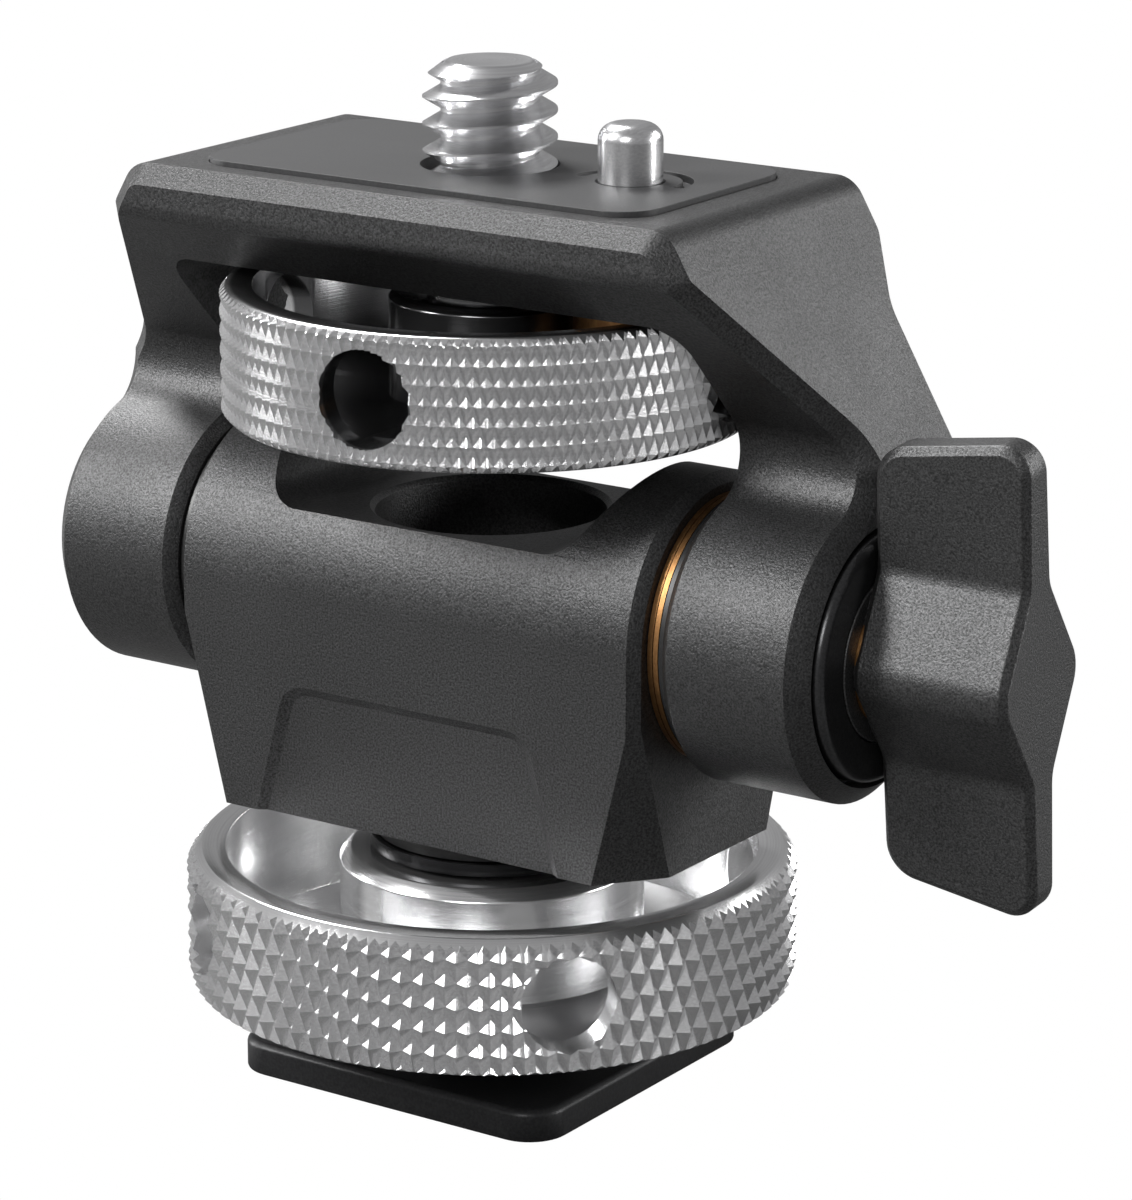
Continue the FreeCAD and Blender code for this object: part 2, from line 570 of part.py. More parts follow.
def side_profile():
    """Closed outline of the frame seen from the side, as a face at x = 0."""
    _, on_slope, rear, on_boss = waist_points()

    def at(point):
        return vec(0, point.x, point.y)

    depth = TOP_HALF_DEPTH
    corners = [(on_slope.x, on_slope.y, 0), (-depth, FRONT_SLOPE_START, FRONT_SLOPE_ROUND),
               (-depth, TOP_HEIGHT, 0), (depth, TOP_HEIGHT, 0), (depth, BACK_FLARE_END, BACK_ROUND),
               (BOSS_RADIUS, BACK_FLARE_START, BACK_ROUND), (BOSS_RADIUS, AXIS_HEIGHT, 0)]
    closed = rounded_wire(corners, lambda a, b: vec(0, a, b))
    closing = []
    for edge in closed.Edges:
        ends = [(vertex.Point.y, vertex.Point.z) for vertex in edge.Vertexes]
        touches_boss = any(abs(y - BOSS_RADIUS) + abs(z - AXIS_HEIGHT) < 1e-4 for y, z in ends)
        touches_slope = any(abs(y - on_slope.x) + abs(z - on_slope.y) < 1e-4 for y, z in ends)
        if not (touches_boss and touches_slope):
            closing.append(edge)
    waist = Part.Arc(at(on_slope), at(rear), at(on_boss)).toShape()
    boss_low = Part.Arc(at(on_boss), vec(0, 0, AXIS_HEIGHT - BOSS_RADIUS), vec(0, BOSS_RADIUS, AXIS_HEIGHT))
    edges = closing + [waist, boss_low.toShape()]
    return Part.Face(Part.Wire(Part.__sortEdges__(edges)))


def tilt_frame():
    side = side_profile().extrude(X_AXIS * BIG)
    side.translate(vec(-BIG / 2, 0, 0))
    flare_end = TOP_HEIGHT - (BOSS_END - FLARE_TOP_HALF) / FLARE_TAN
    below = AXIS_HEIGHT - BOSS_RADIUS - 1
    outer = prism_y([(-FLARE_TOP_HALF, TOP_HEIGHT, TOP_CORNER), (FLARE_TOP_HALF, TOP_HEIGHT, TOP_CORNER),
                     (BOSS_END, flare_end, 0), (BOSS_END, below, 0), (-BOSS_END, below, 0),
                     (-BOSS_END, flare_end, 0)], BIG)
    frame = side.common(outer).removeSplitter()
    frame = chamfer_outline(frame)
    window = prism_y([(-ARM_INNER, PLATE_UNDER, WINDOW_CORNER), (ARM_INNER, PLATE_UNDER, WINDOW_CORNER),
                      (ARM_INNER, below - 2, 0), (-ARM_INNER, below - 2, 0)], BIG)
    frame = frame.cut(window)
    for side_x in (-1, 1):
        inside = vec(side_x * ARM_INNER, 0, AXIS_HEIGHT)
        inward = X_AXIS * -side_x
        frame = frame.fuse(Part.makeCone(BOSS_RADIUS, BOSS_RADIUS - BOSS_PAD, BOSS_PAD, inside, inward))
        ends = sorted((side_x * (BOSS_FACE - 1), side_x * (BOSS_END + 1)))
        frame = frame.cut(cylinder_x(PIVOT_RADIUS + BUSH_WALL, *ends))
    left_floor = -(BOSS_END - PIVOT_HEAD_SUNK - PIVOT_HEAD_THICK - WAVE_THICK - 2 * FACE_GAP)
    frame = frame.cut(cylinder_x(PIVOT_HEAD_RADIUS + 0.15, -BOSS_END - 1, left_floor))
    frame = frame.cut(cylinder_x(RECESS_RADIUS, BOSS_END - RECESS_DEPTH, BOSS_END + 1))
    frame = frame.cut(cylinder_z(SCREW_BORE, PLATE_UNDER - 1, TOP_HEIGHT + 1))
    frame = frame.cut(cylinder_z(SEAT_RADIUS, PLATE_UNDER - 1, PLATE_UNDER + SEAT_DEPTH))
    frame = frame.cut(cylinder_z(SLEEVE_RADIUS, PLATE_UNDER - 1, TOP_HEIGHT - SLEEVE_TOP, PIN_X))
    frame = frame.cut(cylinder_z(PIN_RADIUS + RUN_FIT, PLATE_UNDER, TOP_HEIGHT + 1, PIN_X))
    return frame.cut(pad_blank(FACE_GAP, TOP_HEIGHT + 1))


def chamfer_outline(frame):
    """Break every edge between the front or back and the frame's top, flares and ends."""
    def outside(face):
        normal = face.normalAt(*face.Surface.parameter(face.CenterOfMass))
        if abs(normal.x) < 0.2 and normal.z < 0.9:
            return False
        return abs(normal.y) < 0.05

    outer_faces = [face for face in frame.Faces if outside(face)]
    chosen = []
    for edge in frame.Edges:
        sharing = [face for face in outer_faces if any(edge.isSame(other) for other in face.Edges)]
        if len(sharing) == 1:
            chosen.append(edge)
    return frame.makeChamfer(FRAME_CHAMFER, chosen)


def pivot_bush(side):
    """Plain bush pressed into one arm, running on the pivot."""
    inner_end = BOSS_FACE
    if side < 0:
        outer_end = BOSS_END - PIVOT_HEAD_SUNK - PIVOT_HEAD_THICK - WAVE_THICK - 2 * FACE_GAP
        bore = PIVOT_RADIUS + RUN_FIT
    else:
        outer_end = BOSS_END - RECESS_DEPTH
        bore = PIVOT_THREAD + RUN_FIT
    return ring_x(PIVOT_RADIUS + BUSH_WALL, bore, *sorted((side * inner_end, side * outer_end)))


def left_wave_washer():
    face = BOSS_END - PIVOT_HEAD_SUNK - PIVOT_HEAD_THICK - FACE_GAP
    return ring_x(PIVOT_HEAD_RADIUS - 0.2, PIVOT_RADIUS + 2 * RUN_FIT, -face, -(face - WAVE_THICK))


def left_pivot_screw():
    outer = BOSS_END - PIVOT_HEAD_SUNK
    inner = outer - PIVOT_HEAD_THICK
    head = cylinder_x(PIVOT_HEAD_RADIUS, -outer, -inner)
    shoulder = cylinder_x(PIVOT_RADIUS, -inner, -BARREL_HALF)
    thread = cylinder_x(PIVOT_THREAD, -BARREL_HALF, -(BARREL_HALF - PIVOT_DEPTH + 0.3))
    socket = about_tilt_axis(hex_socket_z(HEX_HALF, 0, PIVOT_HEAD_THICK * 0.65), -outer, 1)
    return head.fuse([shoulder, thread]).cut(socket).removeSplitter()


def left_friction_washer():
    bore = PIVOT_RADIUS + RUN_FIT
    return ring_x(GAP_WASHER_RADIUS, bore, -(BOSS_FACE - FACE_GAP), -(BARREL_HALF + FACE_GAP))


def right_stack():
    """The three washers between the body and the right arm, as (name, left, right)."""
    first = BARREL_HALF + FACE_GAP
    second = first + BRONZE_THICK + FACE_GAP
    third = second + BRONZE_THICK + FACE_GAP
    return [("bronze_washer_inner", first, first + BRONZE_THICK),
            ("bronze_washer_outer", second, second + BRONZE_THICK),
            ("right_friction_washer", third, BOSS_FACE - FACE_GAP)]


def right_pivot_stud():
    tip = KNOB_OUTER - KNOB_END_WALL - 0.5
    stud = cylinder_x(PIVOT_THREAD, BARREL_HALF - PIVOT_DEPTH + 0.3, tip)
    rim = [edge for edge in stud.Edges if edge.BoundBox.XMin > tip - 0.01]
    return stud.makeChamfer(0.4, rim)


def knob_washer():
    low = BOSS_END - RECESS_DEPTH + FACE_GAP
    high = low + COLLAR_THICK
    collar = cylinder_x(COLLAR_RADIUS, low, high)
    rim = [edge for edge in collar.Edges if edge.BoundBox.XMin > high - 0.01]
    collar = collar.makeFillet(COLLAR_SEAT / 2, rim)
    collar = collar.cut(cylinder_x(PIVOT_THREAD + 2 * RUN_FIT, low - 1, high + 1))
    return collar.cut(cylinder_x(KNOB_HUB + 2 * RUN_FIT, high - COLLAR_SEAT, high + 1))


def knob_seat():
    """Where the end face of the knob's hub stands along the tilt axis."""
    return BOSS_END - RECESS_DEPTH + FACE_GAP + COLLAR_THICK - COLLAR_SEAT + FACE_GAP


def wing_section():
    """Section across the knob at x = 0: two flat wings that slope up to a rounded crest."""
    half = KNOB_WING / 2
    tip = KNOB_WING_TIP / 2
    reach = KNOB_OUTER_HALF + 2
    corners = [(tip, reach, 0), (half, KNOB_SWELL, KNOB_BLEND), (KNOB_PEAK, 0, KNOB_CREST),
               (half, -KNOB_SWELL, KNOB_BLEND), (tip, -reach, 0), (-tip, -reach, 0),
               (-half, -KNOB_SWELL, KNOB_BLEND), (-KNOB_PEAK, 0, KNOB_CREST),
               (-half, KNOB_SWELL, KNOB_BLEND), (-tip, reach, 0)]
    return Part.Face(rounded_wire(corners, lambda a, b: vec(0, a, b)))


def knob():
    wings = wing_section().extrude(X_AXIS * BIG)
    outline = prism_y([(KNOB_INNER, -KNOB_INNER_HALF, KNOB_CORNER_IN),
                       (KNOB_OUTER, -KNOB_OUTER_HALF, KNOB_CORNER_OUT),
                       (KNOB_OUTER, KNOB_OUTER_HALF, KNOB_CORNER_OUT),
                       (KNOB_INNER, KNOB_INNER_HALF, KNOB_CORNER_IN)], BIG)
    tee = wings.common(outline).removeSplitter()
    rim = []
    for edge in tee.Edges:
        middle = edge.valueAt((edge.FirstParameter + edge.LastParameter) / 2)
        at_end = middle.x > KNOB_OUTER - 0.01
        at_hub = middle.x < KNOB_INNER + 0.01 or abs(middle.z) > KNOB_INNER_HALF - 1.5
        if at_end or at_hub and edge.BoundBox.YLength < 0.9 * KNOB_WING_TIP:
            rim.append(edge)
    tee = tee.makeChamfer(KNOB_EDGE, rim)
    tee.translate(vec(0, 0, AXIS_HEIGHT))
    tee.rotate(vec(0, 0, AXIS_HEIGHT), X_AXIS, -KNOB_TURN)
    hub = cylinder_x(KNOB_HUB, knob_seat(), KNOB_INNER)
    bore = cylinder_x(PIVOT_THREAD + RUN_FIT + INSERT_WALL, knob_seat() - 1, KNOB_OUTER - KNOB_END_WALL)
    return tee.fuse(hub).cut(bore).removeSplitter()


def knob_insert():
    ends = (knob_seat(), KNOB_OUTER - KNOB_END_WALL)
    return ring_x(PIVOT_THREAD + RUN_FIT + INSERT_WALL, PIVOT_THREAD + RUN_FIT, *ends)


# ---- camera screw, pin and pad ----------------------------------------------
def screw_washer_base():
    return PLATE_UNDER + SEAT_DEPTH - FACE_GAP - SCREW_WASHER_THICK


def camera_screw():
    tip = PAD_TOP + SCREW_PROUD
    flange_top = screw_washer_base() - FACE_GAP
    flange_base = flange_top - SCREW_FLANGE_THICK
    return turned([(0, CAM_BASE + RIM_EDGE), (SCREW_SHANK, CAM_BASE + RIM_EDGE), (SCREW_SHANK, flange_base),
                   (SCREW_FLANGE, flange_base), (SCREW_FLANGE, flange_top), (SCREW_RELIEF, flange_top),
                   (SCREW_RELIEF, PAD_TOP), (SCREW_RADIUS, PAD_TOP),
                   (SCREW_RADIUS, tip - SCREW_TIP_LENGTH), (SCREW_TIP_RADIUS, tip), (0, tip)])


def screw_thrust_washer():
    low = screw_washer_base()
    return ring_z(SEAT_RADIUS - 2 * RUN_FIT, SCREW_RADIUS + 2 * RUN_FIT, low, low + SCREW_WASHER_THICK)


def screw_retainer():
    high = screw_washer_base() - FACE_GAP - SCREW_FLANGE_THICK - SCREW_DROP - FACE_GAP
    return ring_z(SEAT_RADIUS, RETAINER_BORE, high - RETAINER_THICK, high)


def pin_flange_top():
    return TOP_HEIGHT - SLEEVE_TOP - FACE_GAP


def locating_pin():
    top = PAD_TOP + PIN_PROUD
    flange_top = pin_flange_top()
    flange_base = flange_top - PIN_FLANGE_THICK
    dome = PIN_RADIUS - PIN_DOME
    pin = turned([(0, flange_base), (PIN_FLANGE, flange_base), (PIN_FLANGE, flange_top),
                  (PIN_RADIUS, flange_top), (PIN_RADIUS, top), (0, top)])
    rim = [edge for edge in pin.Edges if edge.BoundBox.ZMin > top - 0.01 and edge.BoundBox.XLength > dome]
    pin = pin.makeFillet(PIN_DOME * 2, rim[:1])
    pin.translate(vec(PIN_X, 0, 0))
    return pin


def pin_sleeve():
    low = PLATE_UNDER - SLEEVE_BELOW
    high = TOP_HEIGHT - SLEEVE_TOP
    cup = cylinder_z(SLEEVE_RADIUS, low, high, PIN_X)
    return cup.cut(cylinder_z(SLEEVE_RADIUS - SLEEVE_WALL, low + SLEEVE_WALL, high + 1, PIN_X))


def pin_spring():
    low = PLATE_UNDER - SLEEVE_BELOW + SLEEVE_WALL + SPRING_WIRE + FACE_GAP
    high = pin_flange_top() - PIN_FLANGE_THICK - SPRING_WIRE - FACE_GAP
    radius = SLEEVE_RADIUS - SLEEVE_WALL - SPRING_WIRE - 2 * FACE_GAP - 0.1
    helix = Part.makeHelix((high - low) / SPRING_TURNS, high - low, radius)
    section = Part.Wire(Part.makeCircle(SPRING_WIRE, vec(radius, 0, 0), Y_AXIS))
    coil = Part.Wire(helix.Edges).makePipeShell([section], True, True)
    coil.translate(vec(PIN_X, 0, low))
    return coil


def pad_blank(margin, high):
    corners = []
    for sx, sy in ((-1, -1), (1, -1), (1, 1), (-1, 1)):
        corners.append((sx * (PAD_HALF_X + margin), sy * (PAD_HALF_Y + margin), PAD_CORNER + margin))
    low = TOP_HEIGHT - PAD_SUNK - margin
    return Part.Face(rounded_wire(corners, lambda a, b: vec(a, b, low))).extrude(Z_AXIS * (high - low))


def rubber_pad():
    pad = pad_blank(0.0, PAD_TOP)
    pad = pad.cut(cylinder_z(PAD_SCREW_HOLE, TOP_HEIGHT - 1, PAD_TOP + 1))
    pad = pad.cut(cylinder_z(PIN_RADIUS + 2 * RUN_FIT, TOP_HEIGHT - 1, PAD_TOP + 1, PIN_X))
    floor = PAD_TOP - PAD_SLOT_DEPTH
    slot = cylinder_z(PAD_SLOT_OUTER, floor, PAD_TOP + 1, PIN_X)
    slot = slot.cut(cylinder_z(PAD_SLOT_OUTER - PAD_SLOT_WIDTH, floor - 1, PAD_TOP + 2, PIN_X))
    slot = slot.common(box(-BIG, BIG, 0, BIG, floor, PAD_TOP + 1))
    for side in (-1, 1):
        centre = PIN_X + side * (PAD_SLOT_OUTER - PAD_SLOT_WIDTH / 2)
        slot = slot.fuse(cylinder_z(PAD_SLOT_WIDTH / 2, floor, PAD_TOP + 1, centre))
    return pad.cut(slot.removeSplitter())


def main():
    os.makedirs("parts", exist_ok=True)
    first_disc = WELL_FLOOR + SLIP_THICK + 2 * FACE_GAP
    second_disc = first_disc + DISC_THICK + DISC_CONE + FACE_GAP
    nodes = {
        "shoe_foot": shoe_foot(),
        "foot_screw": foot_screw(),
        "stem": stem(),
        "swivel_bolt": swivel_bolt(),
        "clamp_plate": clamp_plate(),
        "clamp_pad": clamp_pad(),
        "lock_wheel": lock_wheel(),
        "body_block": body_block(),
        "swivel_thrust_washer": swivel_thrust_washer(),
        "swivel_slip_washer": swivel_slip_washer(),
        "disc_spring_lower": disc_spring(first_disc, False),
        "disc_spring_upper": disc_spring(second_disc, True),
        "left_pivot_screw": left_pivot_screw(),
        "left_friction_washer": left_friction_washer(),
        "right_pivot_stud": right_pivot_stud(),
        "tilt_frame": tilt_frame(),
        "left_bush": pivot_bush(-1),
        "right_bush": pivot_bush(1),
        "left_wave_washer": left_wave_washer(),
        "knob_washer": knob_washer(),
        "knob": knob(),
        "knob_insert": knob_insert(),
        "camera_wheel": camera_wheel(),
        "wheel_grub_screw": wheel_grub_screw(),
        "camera_screw": camera_screw(),
        "screw_thrust_washer": screw_thrust_washer(),
        "screw_retainer": screw_retainer(),
        "locating_pin": locating_pin(),
        "pin_sleeve": pin_sleeve(),
        "pin_spring": pin_spring(),
        "rubber_pad": rubber_pad(),
    }
    for name, left, right in right_stack():
        nodes[name] = ring_x(GAP_WASHER_RADIUS, PIVOT_THREAD + 2 * RUN_FIT, left, right)
    for name, shape in nodes.items():
        save(name, shape)


main()
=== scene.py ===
import json
import logging
import math
from dataclasses import dataclass, replace
from enum import Enum
from typing import Callable, Dict, Sequence, Tuple

import bpy
from mathutils import Matrix, Vector


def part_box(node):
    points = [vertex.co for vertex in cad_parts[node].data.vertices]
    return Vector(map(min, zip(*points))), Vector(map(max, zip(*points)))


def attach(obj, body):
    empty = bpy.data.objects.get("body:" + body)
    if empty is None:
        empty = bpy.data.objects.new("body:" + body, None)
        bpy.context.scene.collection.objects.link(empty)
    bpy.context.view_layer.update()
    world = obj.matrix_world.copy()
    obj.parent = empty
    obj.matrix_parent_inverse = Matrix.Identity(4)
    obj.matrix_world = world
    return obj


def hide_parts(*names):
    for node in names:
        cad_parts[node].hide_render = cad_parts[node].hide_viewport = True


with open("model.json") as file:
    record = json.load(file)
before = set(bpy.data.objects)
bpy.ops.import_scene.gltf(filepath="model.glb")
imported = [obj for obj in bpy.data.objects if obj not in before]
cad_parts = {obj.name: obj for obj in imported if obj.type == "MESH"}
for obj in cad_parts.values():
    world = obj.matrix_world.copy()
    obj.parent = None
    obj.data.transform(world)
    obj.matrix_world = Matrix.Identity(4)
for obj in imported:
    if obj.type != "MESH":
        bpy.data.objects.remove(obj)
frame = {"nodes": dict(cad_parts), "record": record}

LOG = logging.getLogger("mount")
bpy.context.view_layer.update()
MM = 0.001
Pair = Tuple[float, float]
Triple = Tuple[float, float, float]
Colour = Tuple[float, float, float]
SAME_PLACE = 1e-4       # mm, points closer than this are one point
MERGE_GAP = 0.0005      # mm, doubled points within this are merged


class Cut(Enum):
    """How one solid is combined with another."""

    ADD = "UNION"
    REMOVE = "DIFFERENCE"
    KEEP = "INTERSECT"


class Texture(Enum):
    """What the surface of a finish shows from close by."""

    BLASTED = "blasted"
    TURNED = "turned"
    MOULDED = "moulded"


# ---- the bench: operators that every piece is made with ----------------------
class Bench:
    """Edit-mode operations in millimetres, as done by hand on the active object."""

    @staticmethod
    def clear() -> None:
        """Deselect every object."""
        if bpy.context.object is not None and bpy.context.object.mode != "OBJECT":
            bpy.ops.object.mode_set(mode="OBJECT")
        bpy.ops.object.select_all(action="DESELECT")

    @staticmethod
    def take(piece: bpy.types.Object) -> None:
        """Make one object the only selected one, and the active one."""
        Bench.clear()
        piece.select_set(True)
        bpy.context.view_layer.objects.active = piece

    @staticmethod
    def active(name: str) -> bpy.types.Object:
        """Name the object that the last operator added, and return it."""
        piece = bpy.context.view_layer.objects.active
        piece.name = name
        piece.data.name = name
        return piece

    @staticmethod
    def edit(piece: bpy.types.Object, kind: str = "VERT") -> None:
        """Enter edit mode with nothing selected.

        Args:
            piece: the object to edit.
            kind: what is picked, VERT, EDGE or FACE.
        """
        Bench.take(piece)
        bpy.ops.object.mode_set(mode="EDIT")
        bpy.ops.mesh.select_mode(type=kind)
        bpy.ops.mesh.select_all(action="DESELECT")

    @staticmethod
    def done() -> None:
        """Go back to object mode."""
        bpy.ops.object.mode_set(mode="OBJECT")

    @staticmethod
    def pick_edges(piece: bpy.types.Object, wanted: Callable[[Vector, Vector], bool]) -> int:
        """Select the edges whose two ends pass a test, and stay in edit mode.

        Args:
            piece: the object in edit mode.
            wanted: takes an edge's two ends.

        Returns:
            How many edges were picked.
        """
        bpy.ops.mesh.select_mode(type="EDGE")
        bpy.ops.mesh.select_all(action="DESELECT")
        bpy.ops.object.mode_set(mode="OBJECT")
        points = piece.data.vertices
        count = 0
        for edge in piece.data.edges:
            first, second = (points[i].co for i in edge.vertices)
            edge.select = bool(wanted(first, second))
            count += int(edge.select)
        bpy.ops.object.mode_set(mode="EDIT")
        return count

    @staticmethod
    def heal(piece: bpy.types.Object) -> None:
        """Merge doubled points, drop loose ones and turn every face outwards."""
        Bench.edit(piece)
        bpy.ops.mesh.select_all(action="SELECT")
        bpy.ops.mesh.remove_doubles(threshold=MERGE_GAP)
        bpy.ops.mesh.delete_loose(use_verts=True, use_edges=True, use_faces=False)
        bpy.ops.mesh.select_all(action="SELECT")
        bpy.ops.mesh.normals_make_consistent(inside=False)
        Bench.done()

    @staticmethod
    def apply(piece: bpy.types.Object, kind: str, **settings: object) -> None:
        """Add a modifier, set it and apply it.

        Args:
            piece: the object that gets it.
            kind: the modifier's type.
            settings: its properties.
        """
        Bench.take(piece)
        modifier = piece.modifiers.new(kind.lower(), kind)
        for key, value in settings.items():
            setattr(modifier, key, value)
        bpy.ops.object.modifier_apply(modifier=modifier.name)

    @staticmethod
    def combine(piece: bpy.types.Object, tool: bpy.types.Object, how: Cut) -> None:
        """Combine one solid with another, which is used up.

        Args:
            piece: the solid that stays.
            tool: the solid that is used up.
            how: add, remove or keep.
        """
        Bench.apply(piece, "BOOLEAN", operation=how.value, object=tool, solver="MANIFOLD")
        bpy.data.objects.remove(tool)

    @staticmethod
    def soften(piece: bpy.types.Object, width: float, steps: int, angle: float) -> None:
        """Break every sharp edge with a small round.

        Args:
            piece: the object.
            width: the width of the round.
            steps: how many strips it has.
            angle: edges flatter than this many degrees are left.
        """
        Bench.apply(piece, "BEVEL", width=width, segments=steps, limit_method="ANGLE",
                    angle_limit=math.radians(angle), use_clamp_overlap=True)

    @staticmethod
    def smooth(piece: bpy.types.Object, angle: float, weigh: bool = False) -> None:
        """Shade smoothly, apart from edges sharper than the angle.

        Args:
            piece: the object.
            angle: the angle in degrees.
            weigh: whether large faces are kept flat beside small rounds.
        """
        Bench.take(piece)
        bpy.ops.object.shade_smooth_by_angle(angle=math.radians(angle))
        if weigh:
            Bench.apply(piece, "WEIGHTED_NORMAL", mode="FACE_AREA", weight=100, keep_sharp=True)

    @staticmethod
    def outline(name: str, points: Sequence[Triple]) -> bpy.types.Object:
        """A closed line drawn by extruding one point from place to place.

        Args:
            name: the new object's name.
            points: the places, in millimetres. The last is joined to the first.

        Returns:
            The object, which has edges and no faces.
        """
        Bench.clear()
        bpy.ops.mesh.primitive_plane_add(size=1.0, location=(0, 0, 0))
        piece = Bench.active(name)
        Bench.edit(piece)
        bpy.ops.mesh.select_all(action="SELECT")
        bpy.ops.mesh.merge(type="CENTER")
        bpy.ops.mesh.select_all(action="SELECT")
        bpy.ops.transform.translate(value=points[0])
        for before, after in zip(points, points[1:]):
            step = tuple(b - a for a, b in zip(before, after))
            bpy.ops.mesh.extrude_region_move(TRANSFORM_OT_translate={"value": step})
        Bench.done()
        ends = (Vector(points[0]), Vector(points[-1]))
        for vertex in piece.data.vertices:
            vertex.select = min((vertex.co - end).length for end in ends) < SAME_PLACE
        bpy.ops.object.mode_set(mode="EDIT")
        bpy.ops.mesh.edge_face_add()
        Bench.done()
        return piece

    @staticmethod
    def lathe(name: str, profile: Sequence[Pair], steps: int) -> bpy.types.Object:
        """A solid turned about the swivel axis from a closed profile.

        Args:
            name: the new object's name.
            profile: (radius, height) points.
            steps: how many sides the solid has.

        Returns:
            The solid.
        """
        piece = Bench.outline(name, [(radius, 0.0, height) for radius, height in profile])
        Bench.edit(piece)
        bpy.ops.mesh.select_all(action="SELECT")
        bpy.ops.mesh.spin(steps=steps, angle=math.tau, center=(0, 0, 0), axis=(0, 0, 1))
        Bench.done()
        Bench.heal(piece)
        return piece

    @staticmethod
    def drill(radius: float, length: float, place: Triple, turn: float, sides: int) -> bpy.types.Object:
        """A cylinder lying level, used to cut a cross hole.

        Args:
            radius: its radius.
            length: its length.
            place: its centre.
            turn: how far it is swung round the swivel axis from the tilt axis, in degrees.
            sides: how many sides it has.

        Returns:
            The cylinder, with its place in its mesh.
        """
        Bench.clear()
        bpy.ops.mesh.primitive_cylinder_add(vertices=sides, radius=radius, depth=length, location=place,
                                            rotation=(0, math.pi / 2, math.radians(turn)))
        piece = Bench.active("drill")
        bpy.ops.object.transform_apply(location=True, rotation=True, scale=True)
        return piece

    @staticmethod
    def to_metres(piece: bpy.types.Object) -> None:
        """Bring a piece made in millimetres to the frame's metres, with its object at the origin."""
        Bench.take(piece)
        piece.scale = (MM, MM, MM)
        bpy.ops.object.transform_apply(location=True, rotation=True, scale=True)


# ---- finishes ------------------------------------------------------------------
MASK_SPAN = (0.35, 0.65)            # the part of the marks that goes from dark to light
CLOUD_SPAN = (0.3, 0.7)             # the part of the cloudiness that changes the roughness
# Painted shade: the dark colour painted inside the camera wheel's cup, and the width over which it fades.
PAINTED_CUP_SHADE = (0.16, 0.16, 0.163)     # the colour inside a darkened cup
PAINTED_SHADE_BLEND = 0.2                     # mm, over which a darkened cup fades


